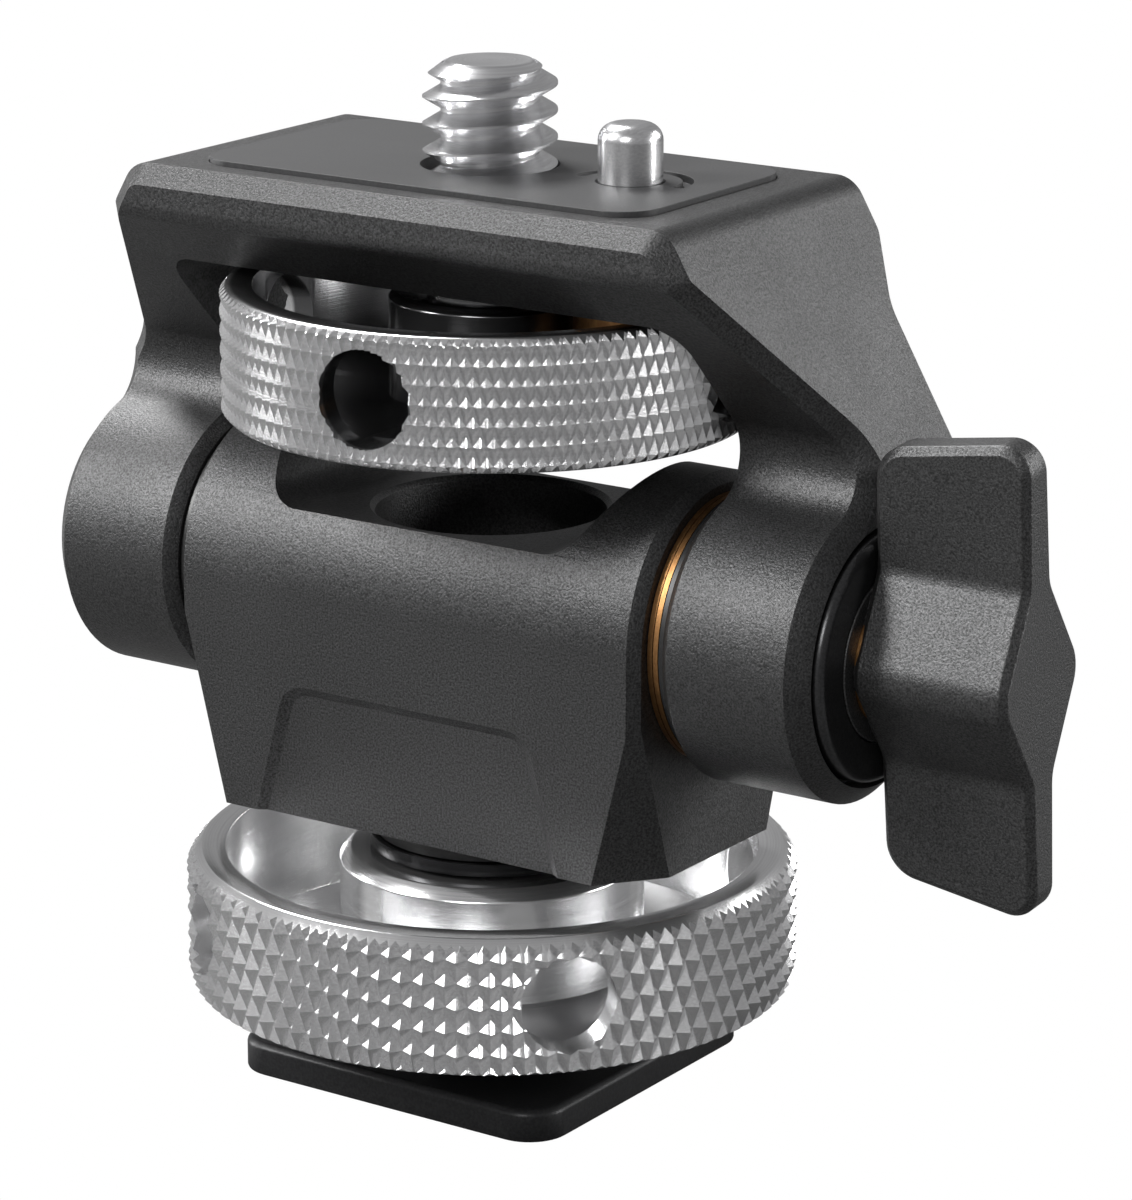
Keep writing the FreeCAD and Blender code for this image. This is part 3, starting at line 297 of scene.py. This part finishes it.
class ShaderGroups:
    """Surface effects shared by the finishes, each one node group."""

    GRAIN_CLOUD = 160.0         # scale of the faint cloudiness on a blasted surface
    GRAIN_DEPTH = 0.00003       # metres
    TURNED_CLOUD = 220.0        # scale of the faint cloudiness on a turned surface
    TURNED_DEPTH = 0.00002      # metres

    @staticmethod
    def start(name: str) -> Tuple:
        """Make an empty group that takes a place, a scale and a height.

        Args:
            name: the group's name.

        Returns:
            The group, its input node and its output node.
        """
        group = bpy.data.node_groups.new(name, "ShaderNodeTree")
        for label, kind in (("Vector", "NodeSocketVector"), ("Scale", "NodeSocketFloat"),
                            ("Height", "NodeSocketFloat")):
            group.interface.new_socket(name=label, in_out="INPUT", socket_type=kind)
        for label, kind in (("Mask", "NodeSocketFloat"), ("Cloud", "NodeSocketFloat"),
                            ("Normal", "NodeSocketVector")):
            group.interface.new_socket(name=label, in_out="OUTPUT", socket_type=kind)
        return group, group.nodes.new("NodeGroupInput"), group.nodes.new("NodeGroupOutput")

    @staticmethod
    def finish(group: bpy.types.NodeTree, source: bpy.types.Node, sink: bpy.types.Node,
               marks: bpy.types.Node, cloud: bpy.types.Node, depth: float) -> None:
        """Wire the parts that both groups share: scale, cloudiness, bump and outputs.

        Args:
            group: the node group.
            source: its input node.
            sink: its output node.
            marks: the texture of the fine marks.
            cloud: the texture of the faint cloudiness.
            depth: how deep the marks are at full height, in metres.
        """
        bump = group.nodes.new("ShaderNodeBump")
        bump.inputs["Distance"].default_value = depth
        for output, target in (
                (source.outputs["Scale"], marks.inputs["Scale"]),
                (source.outputs["Vector"], cloud.inputs["Vector"]),
                (source.outputs["Height"], bump.inputs["Strength"]),
                (marks.outputs["Fac"], bump.inputs["Height"]),
                (marks.outputs["Fac"], sink.inputs["Mask"]),
                (cloud.outputs["Fac"], sink.inputs["Cloud"]),
                (bump.outputs["Normal"], sink.inputs["Normal"])):
            group.links.new(output, target)

    @staticmethod
    def grain() -> bpy.types.NodeTree:
        """Fine blasted or moulded grain with larger, faint cloudiness."""
        name = "surface_grain"
        if name in bpy.data.node_groups:
            return bpy.data.node_groups[name]
        group, source, sink = ShaderGroups.start(name)
        fine = group.nodes.new("ShaderNodeTexNoise")
        fine.inputs["Detail"].default_value = 3.0
        fine.inputs["Roughness"].default_value = 0.6
        cloud = group.nodes.new("ShaderNodeTexNoise")
        cloud.inputs["Scale"].default_value = ShaderGroups.GRAIN_CLOUD
        cloud.inputs["Detail"].default_value = 2.0
        group.links.new(source.outputs["Vector"], fine.inputs["Vector"])
        ShaderGroups.finish(group, source, sink, fine, cloud, ShaderGroups.GRAIN_DEPTH)
        return group

    @staticmethod
    def turning() -> bpy.types.NodeTree:
        """Fine rings left by turning about the swivel axis."""
        name = "turning_marks"
        if name in bpy.data.node_groups:
            return bpy.data.node_groups[name]
        group, source, sink = ShaderGroups.start(name)
        links = group.links
        split = group.nodes.new("ShaderNodeSeparateXYZ")
        flat = group.nodes.new("ShaderNodeCombineXYZ")
        radius = group.nodes.new("ShaderNodeVectorMath")
        radius.operation = "LENGTH"
        place = group.nodes.new("ShaderNodeCombineXYZ")
        rings = group.nodes.new("ShaderNodeTexNoise")
        rings.inputs["Detail"].default_value = 2.0
        cloud = group.nodes.new("ShaderNodeTexNoise")
        cloud.inputs["Scale"].default_value = ShaderGroups.TURNED_CLOUD
        links.new(source.outputs["Vector"], split.inputs[0])
        links.new(split.outputs["X"], flat.inputs["X"])
        links.new(split.outputs["Y"], flat.inputs["Y"])
        links.new(flat.outputs[0], radius.inputs[0])
        links.new(radius.outputs["Value"], place.inputs["X"])
        links.new(split.outputs["Z"], place.inputs["Y"])
        links.new(place.outputs[0], rings.inputs["Vector"])
        ShaderGroups.finish(group, source, sink, rings, cloud, ShaderGroups.TURNED_DEPTH)
        return group


@dataclass(frozen=True)
class Finish:
    """One surface finish and the values of its material."""

    name: str
    dark: Colour
    light: Colour
    metallic: float
    roughness: Pair
    texture: Texture
    scale: float
    height: float
    specular: float = 0.5
    # radius in metres within which a painted shade darkens the colour; 0 paints none
    painted_shade_within: float = 0.0

    def material(self) -> bpy.types.Material:
        """The material, made once.

        Returns:
            The Blender material of this finish.
        """
        if self.name in bpy.data.materials:
            return bpy.data.materials[self.name]
        material = bpy.data.materials.new(self.name)
        material.use_nodes = True
        nodes = material.node_tree.nodes
        links = material.node_tree.links
        shader = nodes["Principled BSDF"]
        shader.inputs["Metallic"].default_value = self.metallic
        shader.inputs["Specular IOR Level"].default_value = self.specular
        place = nodes.new("ShaderNodeTexCoord")
        effect = nodes.new("ShaderNodeGroup")
        turned = self.texture is Texture.TURNED
        effect.node_tree = ShaderGroups.turning() if turned else ShaderGroups.grain()
        effect.inputs["Scale"].default_value = self.scale
        effect.inputs["Height"].default_value = self.height
        links.new(place.outputs["Object"], effect.inputs["Vector"])
        blend = nodes.new("ShaderNodeMapRange")
        blend.inputs["From Min"].default_value = MASK_SPAN[0]
        blend.inputs["From Max"].default_value = MASK_SPAN[1]
        links.new(effect.outputs["Mask"], blend.inputs["Value"])
        colour = nodes.new("ShaderNodeMix")
        colour.data_type = "RGBA"
        colour.inputs["A"].default_value = (*self.dark, 1.0)
        colour.inputs["B"].default_value = (*self.light, 1.0)
        links.new(blend.outputs["Result"], colour.inputs["Factor"])
        links.new(self.paint_shade_inside(nodes, links, place, colour), shader.inputs["Base Color"])
        rough = nodes.new("ShaderNodeMapRange")
        rough.inputs["From Min"].default_value = CLOUD_SPAN[0]
        rough.inputs["From Max"].default_value = CLOUD_SPAN[1]
        rough.inputs["To Min"].default_value = self.roughness[0]
        rough.inputs["To Max"].default_value = self.roughness[1]
        links.new(effect.outputs["Cloud"], rough.inputs["Value"])
        links.new(rough.outputs["Result"], shader.inputs["Roughness"])
        links.new(effect.outputs["Normal"], shader.inputs["Normal"])
        return material

    def paint_shade_inside(self, nodes: bpy.types.Nodes, links: bpy.types.NodeLinks, place: bpy.types.Node,
                      colour: bpy.types.Node) -> bpy.types.NodeSocket:
        """Paint shade onto the surface near the swivel axis, if this finish asks for it: a dark colour
        inside the cup stands for the shade there.

        Args:
            nodes: the material's nodes.
            links: the material's links.
            place: the texture coordinate node.
            colour: the node that mixes the surface colour.

        Returns:
            The socket that carries the final colour.
        """
        if self.painted_shade_within <= 0:
            return colour.outputs["Result"]
        flat = nodes.new("ShaderNodeVectorMath")
        flat.operation = "MULTIPLY"
        flat.inputs[1].default_value = (1.0, 1.0, 0.0)
        radius = nodes.new("ShaderNodeVectorMath")
        radius.operation = "LENGTH"
        edge = nodes.new("ShaderNodeMapRange")
        edge.inputs["From Min"].default_value = self.painted_shade_within
        edge.inputs["From Max"].default_value = self.painted_shade_within + PAINTED_SHADE_BLEND * MM
        shade = nodes.new("ShaderNodeMix")
        shade.data_type = "RGBA"
        shade.inputs["A"].default_value = (*PAINTED_CUP_SHADE, 1.0)
        links.new(place.outputs["Object"], flat.inputs[0])
        links.new(flat.outputs[0], radius.inputs[0])
        links.new(radius.outputs["Value"], edge.inputs["Value"])
        links.new(edge.outputs["Result"], shade.inputs["Factor"])
        links.new(colour.outputs["Result"], shade.inputs["B"])
        return shade.outputs["Result"]

    def dress(self, piece: bpy.types.Object) -> None:
        """Give the piece this finish all over."""
        piece.data.materials.clear()
        piece.data.materials.append(self.material())


ANODISED = Finish("blasted_anodised", (0.034, 0.034, 0.034), (0.096, 0.096, 0.097), 0.80, (0.38, 0.46),
                  Texture.BLASTED, 10000.0, 1.0)
KNOB_BLACK = Finish("knob_anodised", (0.040, 0.040, 0.040), (0.115, 0.115, 0.116), 0.80, (0.36, 0.44),
                    Texture.BLASTED, 10000.0, 1.0)
FOOT_BLACK = Finish("foot_satin_black", (0.012, 0.012, 0.013), (0.024, 0.024, 0.025), 0.4, (0.36, 0.44),
                    Texture.BLASTED, 7000.0, 0.25)
BRIGHT = Finish("bright_aluminium", (0.80, 0.80, 0.805), (0.92, 0.92, 0.925), 0.96, (0.18, 0.24),
                Texture.TURNED, 9000.0, 0.12)
# Painted shade: inside the rim flat, the camera wheel's cup and hub are painted dark to stand for the shade
# under the tilt plate.
PAINTED_SHADE_CUP = replace(BRIGHT, name="bright_rim_painted_shade_cup", painted_shade_within=0.0121)
STEEL = Finish("turned_steel", (0.78, 0.78, 0.79), (0.90, 0.90, 0.91), 1.0, (0.20, 0.26),
               Texture.TURNED, 9000.0, 0.08)
SPRING = Finish("sprung_steel", (0.40, 0.40, 0.42), (0.50, 0.50, 0.52), 1.0, (0.25, 0.32),
                Texture.TURNED, 8000.0, 0.1)
COLLAR = Finish("collar_satin", (0.06, 0.06, 0.062), (0.09, 0.09, 0.092), 0.9, (0.26, 0.33),
                Texture.BLASTED, 9000.0, 0.1)
BLACK_STEEL = Finish("blackened_steel", (0.015, 0.015, 0.016), (0.03, 0.03, 0.031), 0.9, (0.22, 0.30),
                     Texture.TURNED, 8000.0, 0.12)
DARK_STEEL = Finish("oiled_steel", (0.05, 0.05, 0.052), (0.09, 0.09, 0.092), 1.0, (0.24, 0.33),
                    Texture.BLASTED, 8000.0, 0.1)
BRONZE = Finish("washer_bronze", (0.30, 0.15, 0.06), (0.38, 0.20, 0.08), 1.0, (0.38, 0.46),
                Texture.BLASTED, 6000.0, 0.1)
ACETAL = Finish("black_acetal", (0.010, 0.010, 0.010), (0.016, 0.016, 0.016), 0.0, (0.36, 0.42),
                Texture.MOULDED, 5000.0, 0.1)
PAD_RUBBER = Finish("pad_rubber", (0.024, 0.024, 0.025), (0.038, 0.038, 0.039), 0.0, (0.55, 0.62),
                    Texture.MOULDED, 9000.0, 0.2, 0.4)
BLACK_RUBBER = Finish("clamp_rubber", (0.014, 0.014, 0.014), (0.022, 0.022, 0.022), 0.0, (0.55, 0.62),
                      Texture.MOULDED, 9000.0, 0.2, 0.4)

SLOT_FINISHES: Dict[str, Finish] = {
    "black_anodised": ANODISED, "black_foot": FOOT_BLACK, "black_steel": BLACK_STEEL,
    "dark_steel": DARK_STEEL, "bright_steel": STEEL, "spring_steel": SPRING, "collar_silver": COLLAR,
    "knurled_silver": BRIGHT, "bronze": BRONZE, "acetal": ACETAL, "grey_rubber": PAD_RUBBER,
    "rubber": BLACK_RUBBER,
}


def stand_for(piece: bpy.types.Object, node: str, body: str, finish: Finish) -> None:
    """Dress a finished piece and put it in its CAD node's place.

    Args:
        piece: the finished piece, in metres.
        node: the CAD node that it stands for.
        body: the CAD body that it moves with.
        finish: its finish.
    """
    finish.dress(piece)
    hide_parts(node)
    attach(piece, body)
    LOG.info("%s: %d faces", piece.name, len(piece.data.polygons))


# ---- knurled wheels ------------------------------------------------------------
@dataclass
class KnurledWheel:
    """A cup-shaped wheel with a diamond-knurled rim, a web, a hub and tommy holes. Sizes in mm."""

    node: str
    body: str
    bore: float
    rim_flat: float
    web: float
    hub_radius: float
    hub_drop: float
    hub_chamfer: float
    shaft: float
    columns: int
    row: float
    tommy_turn: float
    tommy_radius: float = 2.3
    tommy_count: int = 4
    tommy_sides: int = 56
    knurl_depth: float = 0.46
    edge: float = 0.35
    soft: float = 0.07
    spare: float = 0.03
    finish: Finish = BRIGHT

    def sizes(self) -> Triple:
        """Crest radius, underside and top, read from the CAD node."""
        low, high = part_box(self.node)
        return high.x / MM, low.z / MM, high.z / MM

    def turned(self) -> bpy.types.Object:
        """The whole wheel as it leaves the lathe, before knurling."""
        radius, base, top = self.sizes()
        hub_top = top - self.hub_drop
        steps = 2 * self.columns
        wheel = Bench.lathe(self.node + "_turned", [
            (self.shaft, base), (radius - self.edge, base), (radius, base + self.edge),
            (radius, top - (radius - self.rim_flat)), (self.rim_flat, top), (self.bore, top),
            (self.bore, base + self.web), (self.hub_radius, base + self.web),
            (self.hub_radius, hub_top - self.hub_chamfer), (self.hub_radius - self.hub_chamfer, hub_top),
            (self.shaft, hub_top)], steps)
        Bench.soften(wheel, self.soft, 2, 20.0)
        return wheel

    def knurled(self) -> bpy.types.Object:
        """A solid blank, taller than the wheel, with diamonds raised all over its side."""
        radius, base, top = self.sizes()
        valley = radius - self.knurl_depth
        rows = math.ceil((top - base) / self.row) + 2
        tall = rows * self.row
        middle = (top + base) / 2
        Bench.clear()
        bpy.ops.mesh.primitive_cylinder_add(vertices=self.columns, radius=valley, depth=tall,
                                            end_fill_type="NOTHING", location=(0, 0, middle))
        blank = Bench.active(self.node + "_knurl")
        bpy.ops.object.transform_apply(location=True, rotation=True, scale=True)
        Bench.edit(blank, "FACE")
        for index in range(1, rows):
            bpy.ops.mesh.select_all(action="SELECT")
            height = middle - tall / 2 + index * self.row
            bpy.ops.mesh.bisect(plane_co=(0, 0, height), plane_no=(0, 0, 1))
        bpy.ops.mesh.select_all(action="SELECT")
        bpy.ops.mesh.poke()
        low, high = middle - tall / 2 + self.spare, middle + tall / 2 - self.spare

        def straight(first: Vector, second: Vector) -> bool:
            """Whether an edge is upright, or level and inside the blank."""
            level = abs(first.z - second.z) < 10 * SAME_PLACE
            upright = (first.xy - second.xy).length < 10 * SAME_PLACE
            return (level and low < first.z < high) or upright

        Bench.pick_edges(blank, straight)
        bpy.ops.mesh.dissolve_edges(use_verts=False)
        bpy.ops.mesh.select_mode(type="FACE")
        bpy.ops.mesh.select_all(action="SELECT")
        bpy.ops.mesh.normals_make_consistent(inside=False)
        bpy.ops.mesh.poke(offset=self.knurl_depth + self.spare)
        bpy.ops.mesh.select_all(action="SELECT")
        bpy.ops.mesh.fill_holes(sides=0)
        bpy.ops.mesh.normals_make_consistent(inside=False)
        Bench.done()
        return blank

    def build(self) -> bpy.types.Object:
        """The finished wheel.

        Returns:
            The piece, dressed and riding on its body.
        """
        radius, base, top = self.sizes()
        wheel = self.knurled()
        Bench.combine(wheel, self.turned(), Cut.KEEP)
        for index in range(self.tommy_count):
            turn = self.tommy_turn + index * 360.0 / self.tommy_count
            spoke = Vector((math.cos(math.radians(turn)), math.sin(math.radians(turn)), 0))
            centre = spoke * (radius + self.bore) / 2
            length = 2 * (radius - self.bore)
            drill = Bench.drill(self.tommy_radius, length, (centre.x, centre.y, (base + top) / 2), turn,
                                self.tommy_sides)
            Bench.combine(wheel, drill, Cut.REMOVE)
        wheel.name = self.node + "_knurled"
        Bench.to_metres(wheel)
        Bench.smooth(wheel, 24.0)
        stand_for(wheel, self.node, self.body, self.finish)
        return wheel


# ---- camera screw and locating pin -----------------------------------------------
@dataclass
class CameraScrew:
    """The captive quarter-inch screw with its real thread. Sizes in mm."""

    node: str = "camera_screw"
    body: str = "camera_wheel_body"
    pitch: float = 1.27
    crest: float = 3.15
    root: float = 2.3
    crest_flat: float = 0.1
    tooth: float = 1.22
    tip_radius: float = 2.1
    tip_flat: float = 1.98
    tip_length: float = 0.9775
    tip_edge: float = 0.3
    relief_top: float = 42.6
    run_out: float = 0.7
    shank: float = 3.0
    flange_thick: float = 1.0
    washer_gap: float = 0.05
    sunk: float = 0.08
    spare: float = 0.2
    sliver: float = 0.02
    gauge_bore: float = 0.5
    steps: int = 56

    def thread(self, low: float, high: float) -> bpy.types.Object:
        """The helical ridge from below low to above high."""
        half, flat = self.tooth / 2, self.crest_flat / 2
        inner = self.root - self.sunk
        ridge = Bench.outline("thread_ridge", [(inner, 0, low - half), (self.crest, 0, low - flat),
                                            (self.crest, 0, low + flat), (inner, 0, low + half)])
        turns = math.ceil((high - low) / self.pitch) + 1
        Bench.apply(ridge, "SCREW", angle=math.tau, screw_offset=self.pitch, iterations=turns,
                    steps=self.steps, render_steps=self.steps, axis="Z", use_merge_vertices=False,
                    use_normal_calculate=True)
        Bench.edit(ridge)
        bpy.ops.mesh.select_all(action="SELECT")
        bpy.ops.mesh.remove_doubles(threshold=MERGE_GAP)
        bpy.ops.mesh.fill_holes(sides=0)
        bpy.ops.mesh.select_all(action="SELECT")
        bpy.ops.mesh.normals_make_consistent(inside=False)
        Bench.done()
        return ridge

    def build(self) -> bpy.types.Object:
        """The finished screw.

        Returns:
            The piece, dressed and riding on its body.
        """
        low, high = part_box(self.node)
        base, tip = low.z / MM, high.z / MM
        flange = high.x / MM
        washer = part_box("screw_thrust_washer")[0].z / MM
        flange_top = washer - self.washer_gap
        flange_base = flange_top - self.flange_thick
        outside = self.crest + self.spare
        inside = self.gauge_bore
        ridge = self.thread(self.relief_top - self.pitch, tip)
        gauge = Bench.lathe("thread_gauge", [
            (inside, self.relief_top), (self.root, self.relief_top),
            (outside, self.relief_top + self.run_out), (outside, tip - self.tip_length),
            (self.tip_radius, tip - self.sliver), (inside, tip - self.sliver)], self.steps)
        Bench.combine(ridge, gauge, Cut.KEEP)
        core = Bench.lathe(self.node + "_threaded", [
            (0.0, base), (self.shank, base), (self.shank, flange_base), (flange, flange_base),
            (flange, flange_top), (self.root, flange_top), (self.root, tip - self.tip_edge),
            (self.tip_flat, tip), (0.0, tip)], self.steps)
        Bench.combine(core, ridge, Cut.ADD)
        Bench.heal(core)
        Bench.to_metres(core)
        Bench.smooth(core, 22.0)
        stand_for(core, self.node, self.body, STEEL)
        return core


@dataclass
class LocatingPin:
    """The domed, sprung pin beside the screw. Sizes in mm."""

    node: str = "locating_pin"
    body: str = "pin_body"
    radius: float = 1.5
    flat: float = 0.7
    flange_thick: float = 0.8
    dome_steps: int = 8
    steps: int = 64

    def build(self) -> bpy.types.Object:
        """The finished pin.

        Returns:
            The piece, dressed and riding on its body.
        """
        low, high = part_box(self.node)
        base, tip = low.z / MM, high.z / MM
        flange = (high.x - low.x) / 2 / MM
        centre = (high.x + low.x) / 2 / MM
        dome = self.radius - self.flat
        turns = [math.radians(90.0 * i / self.dome_steps) for i in range(self.dome_steps + 1)]
        arc = [(self.flat + dome * math.cos(t), tip - dome + dome * math.sin(t)) for t in turns]
        profile = [(0.0, base), (flange, base), (flange, base + self.flange_thick),
                   (self.radius, base + self.flange_thick), *arc, (0.0, tip)]
        pin = Bench.lathe(self.node + "_domed", profile, self.steps)
        Bench.take(pin)
        pin.location.x = centre
        bpy.ops.object.transform_apply(location=True, rotation=True, scale=True)
        Bench.to_metres(pin)
        Bench.smooth(pin, 30.0)
        stand_for(pin, self.node, self.body, STEEL)
        return pin


# ---- machined aluminium parts ------------------------------------------------------
@dataclass
class MachinedPart:
    """An aluminium part whose edges are broken with a small round. Sizes in mm."""

    node: str
    body: str
    slot: str
    finish: Finish
    soft: float
    steps: int = 2
    angle: float = 28.0
    merge_gap: float = 1e-4
    flat_within: float = 0.8
    smooth_angle: float = 35.0

    def build(self) -> bpy.types.Object:
        """The finished part, worked from a merged copy of the CAD solid.

        Returns:
            The piece, dressed and riding on its body.
        """
        source = frame["nodes"][self.node]
        Bench.clear()
        part = bpy.data.objects.new(self.node + "_finished", source.data.copy())
        bpy.context.scene.collection.objects.link(part)
        Bench.edit(part)
        bpy.ops.mesh.select_all(action="SELECT")
        bpy.ops.mesh.remove_doubles(threshold=self.merge_gap * MM)
        bpy.ops.mesh.dissolve_limited(angle_limit=math.radians(self.flat_within))
        Bench.done()
        Bench.soften(part, self.soft * MM, self.steps, self.angle)
        Bench.smooth(part, self.smooth_angle, weigh=True)
        stand_for(part, self.node, self.body, self.finish)
        return part


# ---- studio ------------------------------------------------------------------------
@dataclass
class Studio:
    """Floor, soft lights and camera. Distances in metres, angles in degrees."""

    floor_size: float = 6.0
    aim: Triple = (0.0, 0.0, 0.024)
    azimuth: float = 35.156
    elevation: float = 15.667
    distance: float = 0.2232
    roll: float = -0.153
    lens: float = 140.72
    shift: Pair = (0.0622, -0.0186)
    floor_shade: float = 0.11
    surround: float = 0.28

    def floor(self) -> None:
        """A floor that is white to the camera and throws little light up at the object."""
        Bench.clear()
        bpy.ops.mesh.primitive_plane_add(size=self.floor_size, location=(0, 0, -0.0001))
        sheet = Bench.active("studio_floor")
        material = bpy.data.materials.new("studio_white")
        material.use_nodes = True
        nodes, links = material.node_tree.nodes, material.node_tree.links
        shader = nodes["Principled BSDF"]
        shader.inputs["Base Color"].default_value = (self.floor_shade,) * 3 + (1.0,)
        shader.inputs["Roughness"].default_value = 0.7
        pale = nodes.new("ShaderNodeEmission")
        path = nodes.new("ShaderNodeLightPath")
        blend = nodes.new("ShaderNodeMixShader")
        links.new(path.outputs["Is Camera Ray"], blend.inputs["Fac"])
        links.new(shader.outputs["BSDF"], blend.inputs[1])
        links.new(pale.outputs["Emission"], blend.inputs[2])
        links.new(blend.outputs["Shader"], nodes["Material Output"].inputs["Surface"])
        sheet.data.materials.append(material)

    def light(self, name: str, place: Triple, size: Pair, power: float) -> None:
        """One soft rectangular light aimed at the object.

        Args:
            name: the light's name.
            place: where it stands.
            size: its width and height.
            power: its power in watts.
        """
        data = bpy.data.lights.new(name, "AREA")
        data.shape = "RECTANGLE"
        data.size, data.size_y = size
        data.energy = power
        lamp = bpy.data.objects.new(name, data)
        bpy.context.scene.collection.objects.link(lamp)
        lamp.location = place
        lamp.rotation_euler = (Vector(self.aim) - Vector(place)).to_track_quat("-Z", "Y").to_euler()

    def lights(self) -> None:
        """The lights and a dim grey surround."""
        self.light("top_soft", (-0.33, 0.15, 0.50), (0.26, 0.20), 3.8)
        self.light("back_right_soft", (0.33, 0.52, 0.26), (0.30, 0.26), 1.4)
        self.light("front_left_soft", (-0.36, -0.40, 0.39), (0.13, 0.26), 3.8)
        self.light("front_soft", (0.14, -0.58, 0.34), (0.24, 0.18), 1.3)
        self.light("right_low_soft", (0.50, 0.30, 0.10), (0.12, 0.24), 1.3)
        self.light("left_low_soft", (-0.58, -0.10, 0.14), (0.12, 0.26), 1.8)
        world = bpy.data.worlds.new("studio_surround")
        world.use_nodes = True
        background = world.node_tree.nodes["Background"]
        background.inputs["Color"].default_value = (0.93, 0.93, 0.94, 1.0)
        background.inputs["Strength"].default_value = self.surround
        bpy.context.scene.world = world

    def camera(self) -> None:
        """The camera at the wanted angle, with a small shift to frame the object."""
        data = bpy.data.cameras.new("camera")
        data.lens = self.lens
        data.sensor_width = 36.0
        data.shift_x, data.shift_y = self.shift
        data.clip_start = 0.01
        lens = bpy.data.objects.new("camera", data)
        bpy.context.scene.collection.objects.link(lens)
        turn, rise = math.radians(self.azimuth), math.radians(self.elevation)
        away = Vector((math.sin(turn) * math.cos(rise), -math.cos(turn) * math.cos(rise), math.sin(rise)))
        lens.location = Vector(self.aim) + away * self.distance
        look = (-away).to_track_quat("-Z", "Y").to_matrix().to_4x4()
        lens.rotation_euler = (look @ Matrix.Rotation(math.radians(self.roll), 4, "Z")).to_euler()
        bpy.context.scene.camera = lens

    def build(self) -> None:
        """Set up the whole studio."""
        self.floor()
        self.lights()
        self.camera()
        bpy.context.scene.view_settings.view_transform = "Standard"


def dress_cad_nodes() -> None:
    """Give every CAD node the finish of its material slot."""
    slots = {row["node"]: row.get("material_slot", row["node"]) for row in frame["record"]["subparts"]}
    for node, piece in frame["nodes"].items():
        SLOT_FINISHES[slots[node]].dress(piece)


def main() -> None:
    """Build every piece in order, then the studio."""
    logging.basicConfig(level=logging.INFO)
    dress_cad_nodes()
    KnurledWheel("lock_wheel", "lock_wheel_body", bore=12.85, rim_flat=14.03, web=0.75, hub_radius=7.37,
                 hub_drop=0.15, hub_chamfer=0.55, shaft=4.05, columns=88, row=2.3, tommy_turn=-40.6).build()
    KnurledWheel("camera_wheel", "camera_wheel_body", bore=11.15, rim_flat=12.36, web=0.9, hub_radius=4.8,
                 hub_drop=0.35, hub_chamfer=0.35, shaft=3.0, columns=126, row=1.84, tommy_turn=-82.5,
                 knurl_depth=0.3, finish=PAINTED_SHADE_CUP).build()
    CameraScrew().build()
    LocatingPin().build()
    MachinedPart("body_block", "swivel_body", "black_anodised", ANODISED, soft=0.17, steps=3).build()
    MachinedPart("tilt_frame", "tilting_frame", "black_anodised", ANODISED, soft=0.17, steps=3).build()
    MachinedPart("knob", "knob_body", "black_anodised", KNOB_BLACK, soft=0.12).build()
    MachinedPart("shoe_foot", "foot", "black_foot", FOOT_BLACK, soft=0.1).build()
    MachinedPart("rubber_pad", "tilting_frame", "grey_rubber", PAD_RUBBER, soft=0.08).build()
    Studio().build()


if __name__ == "__main__":
    main()
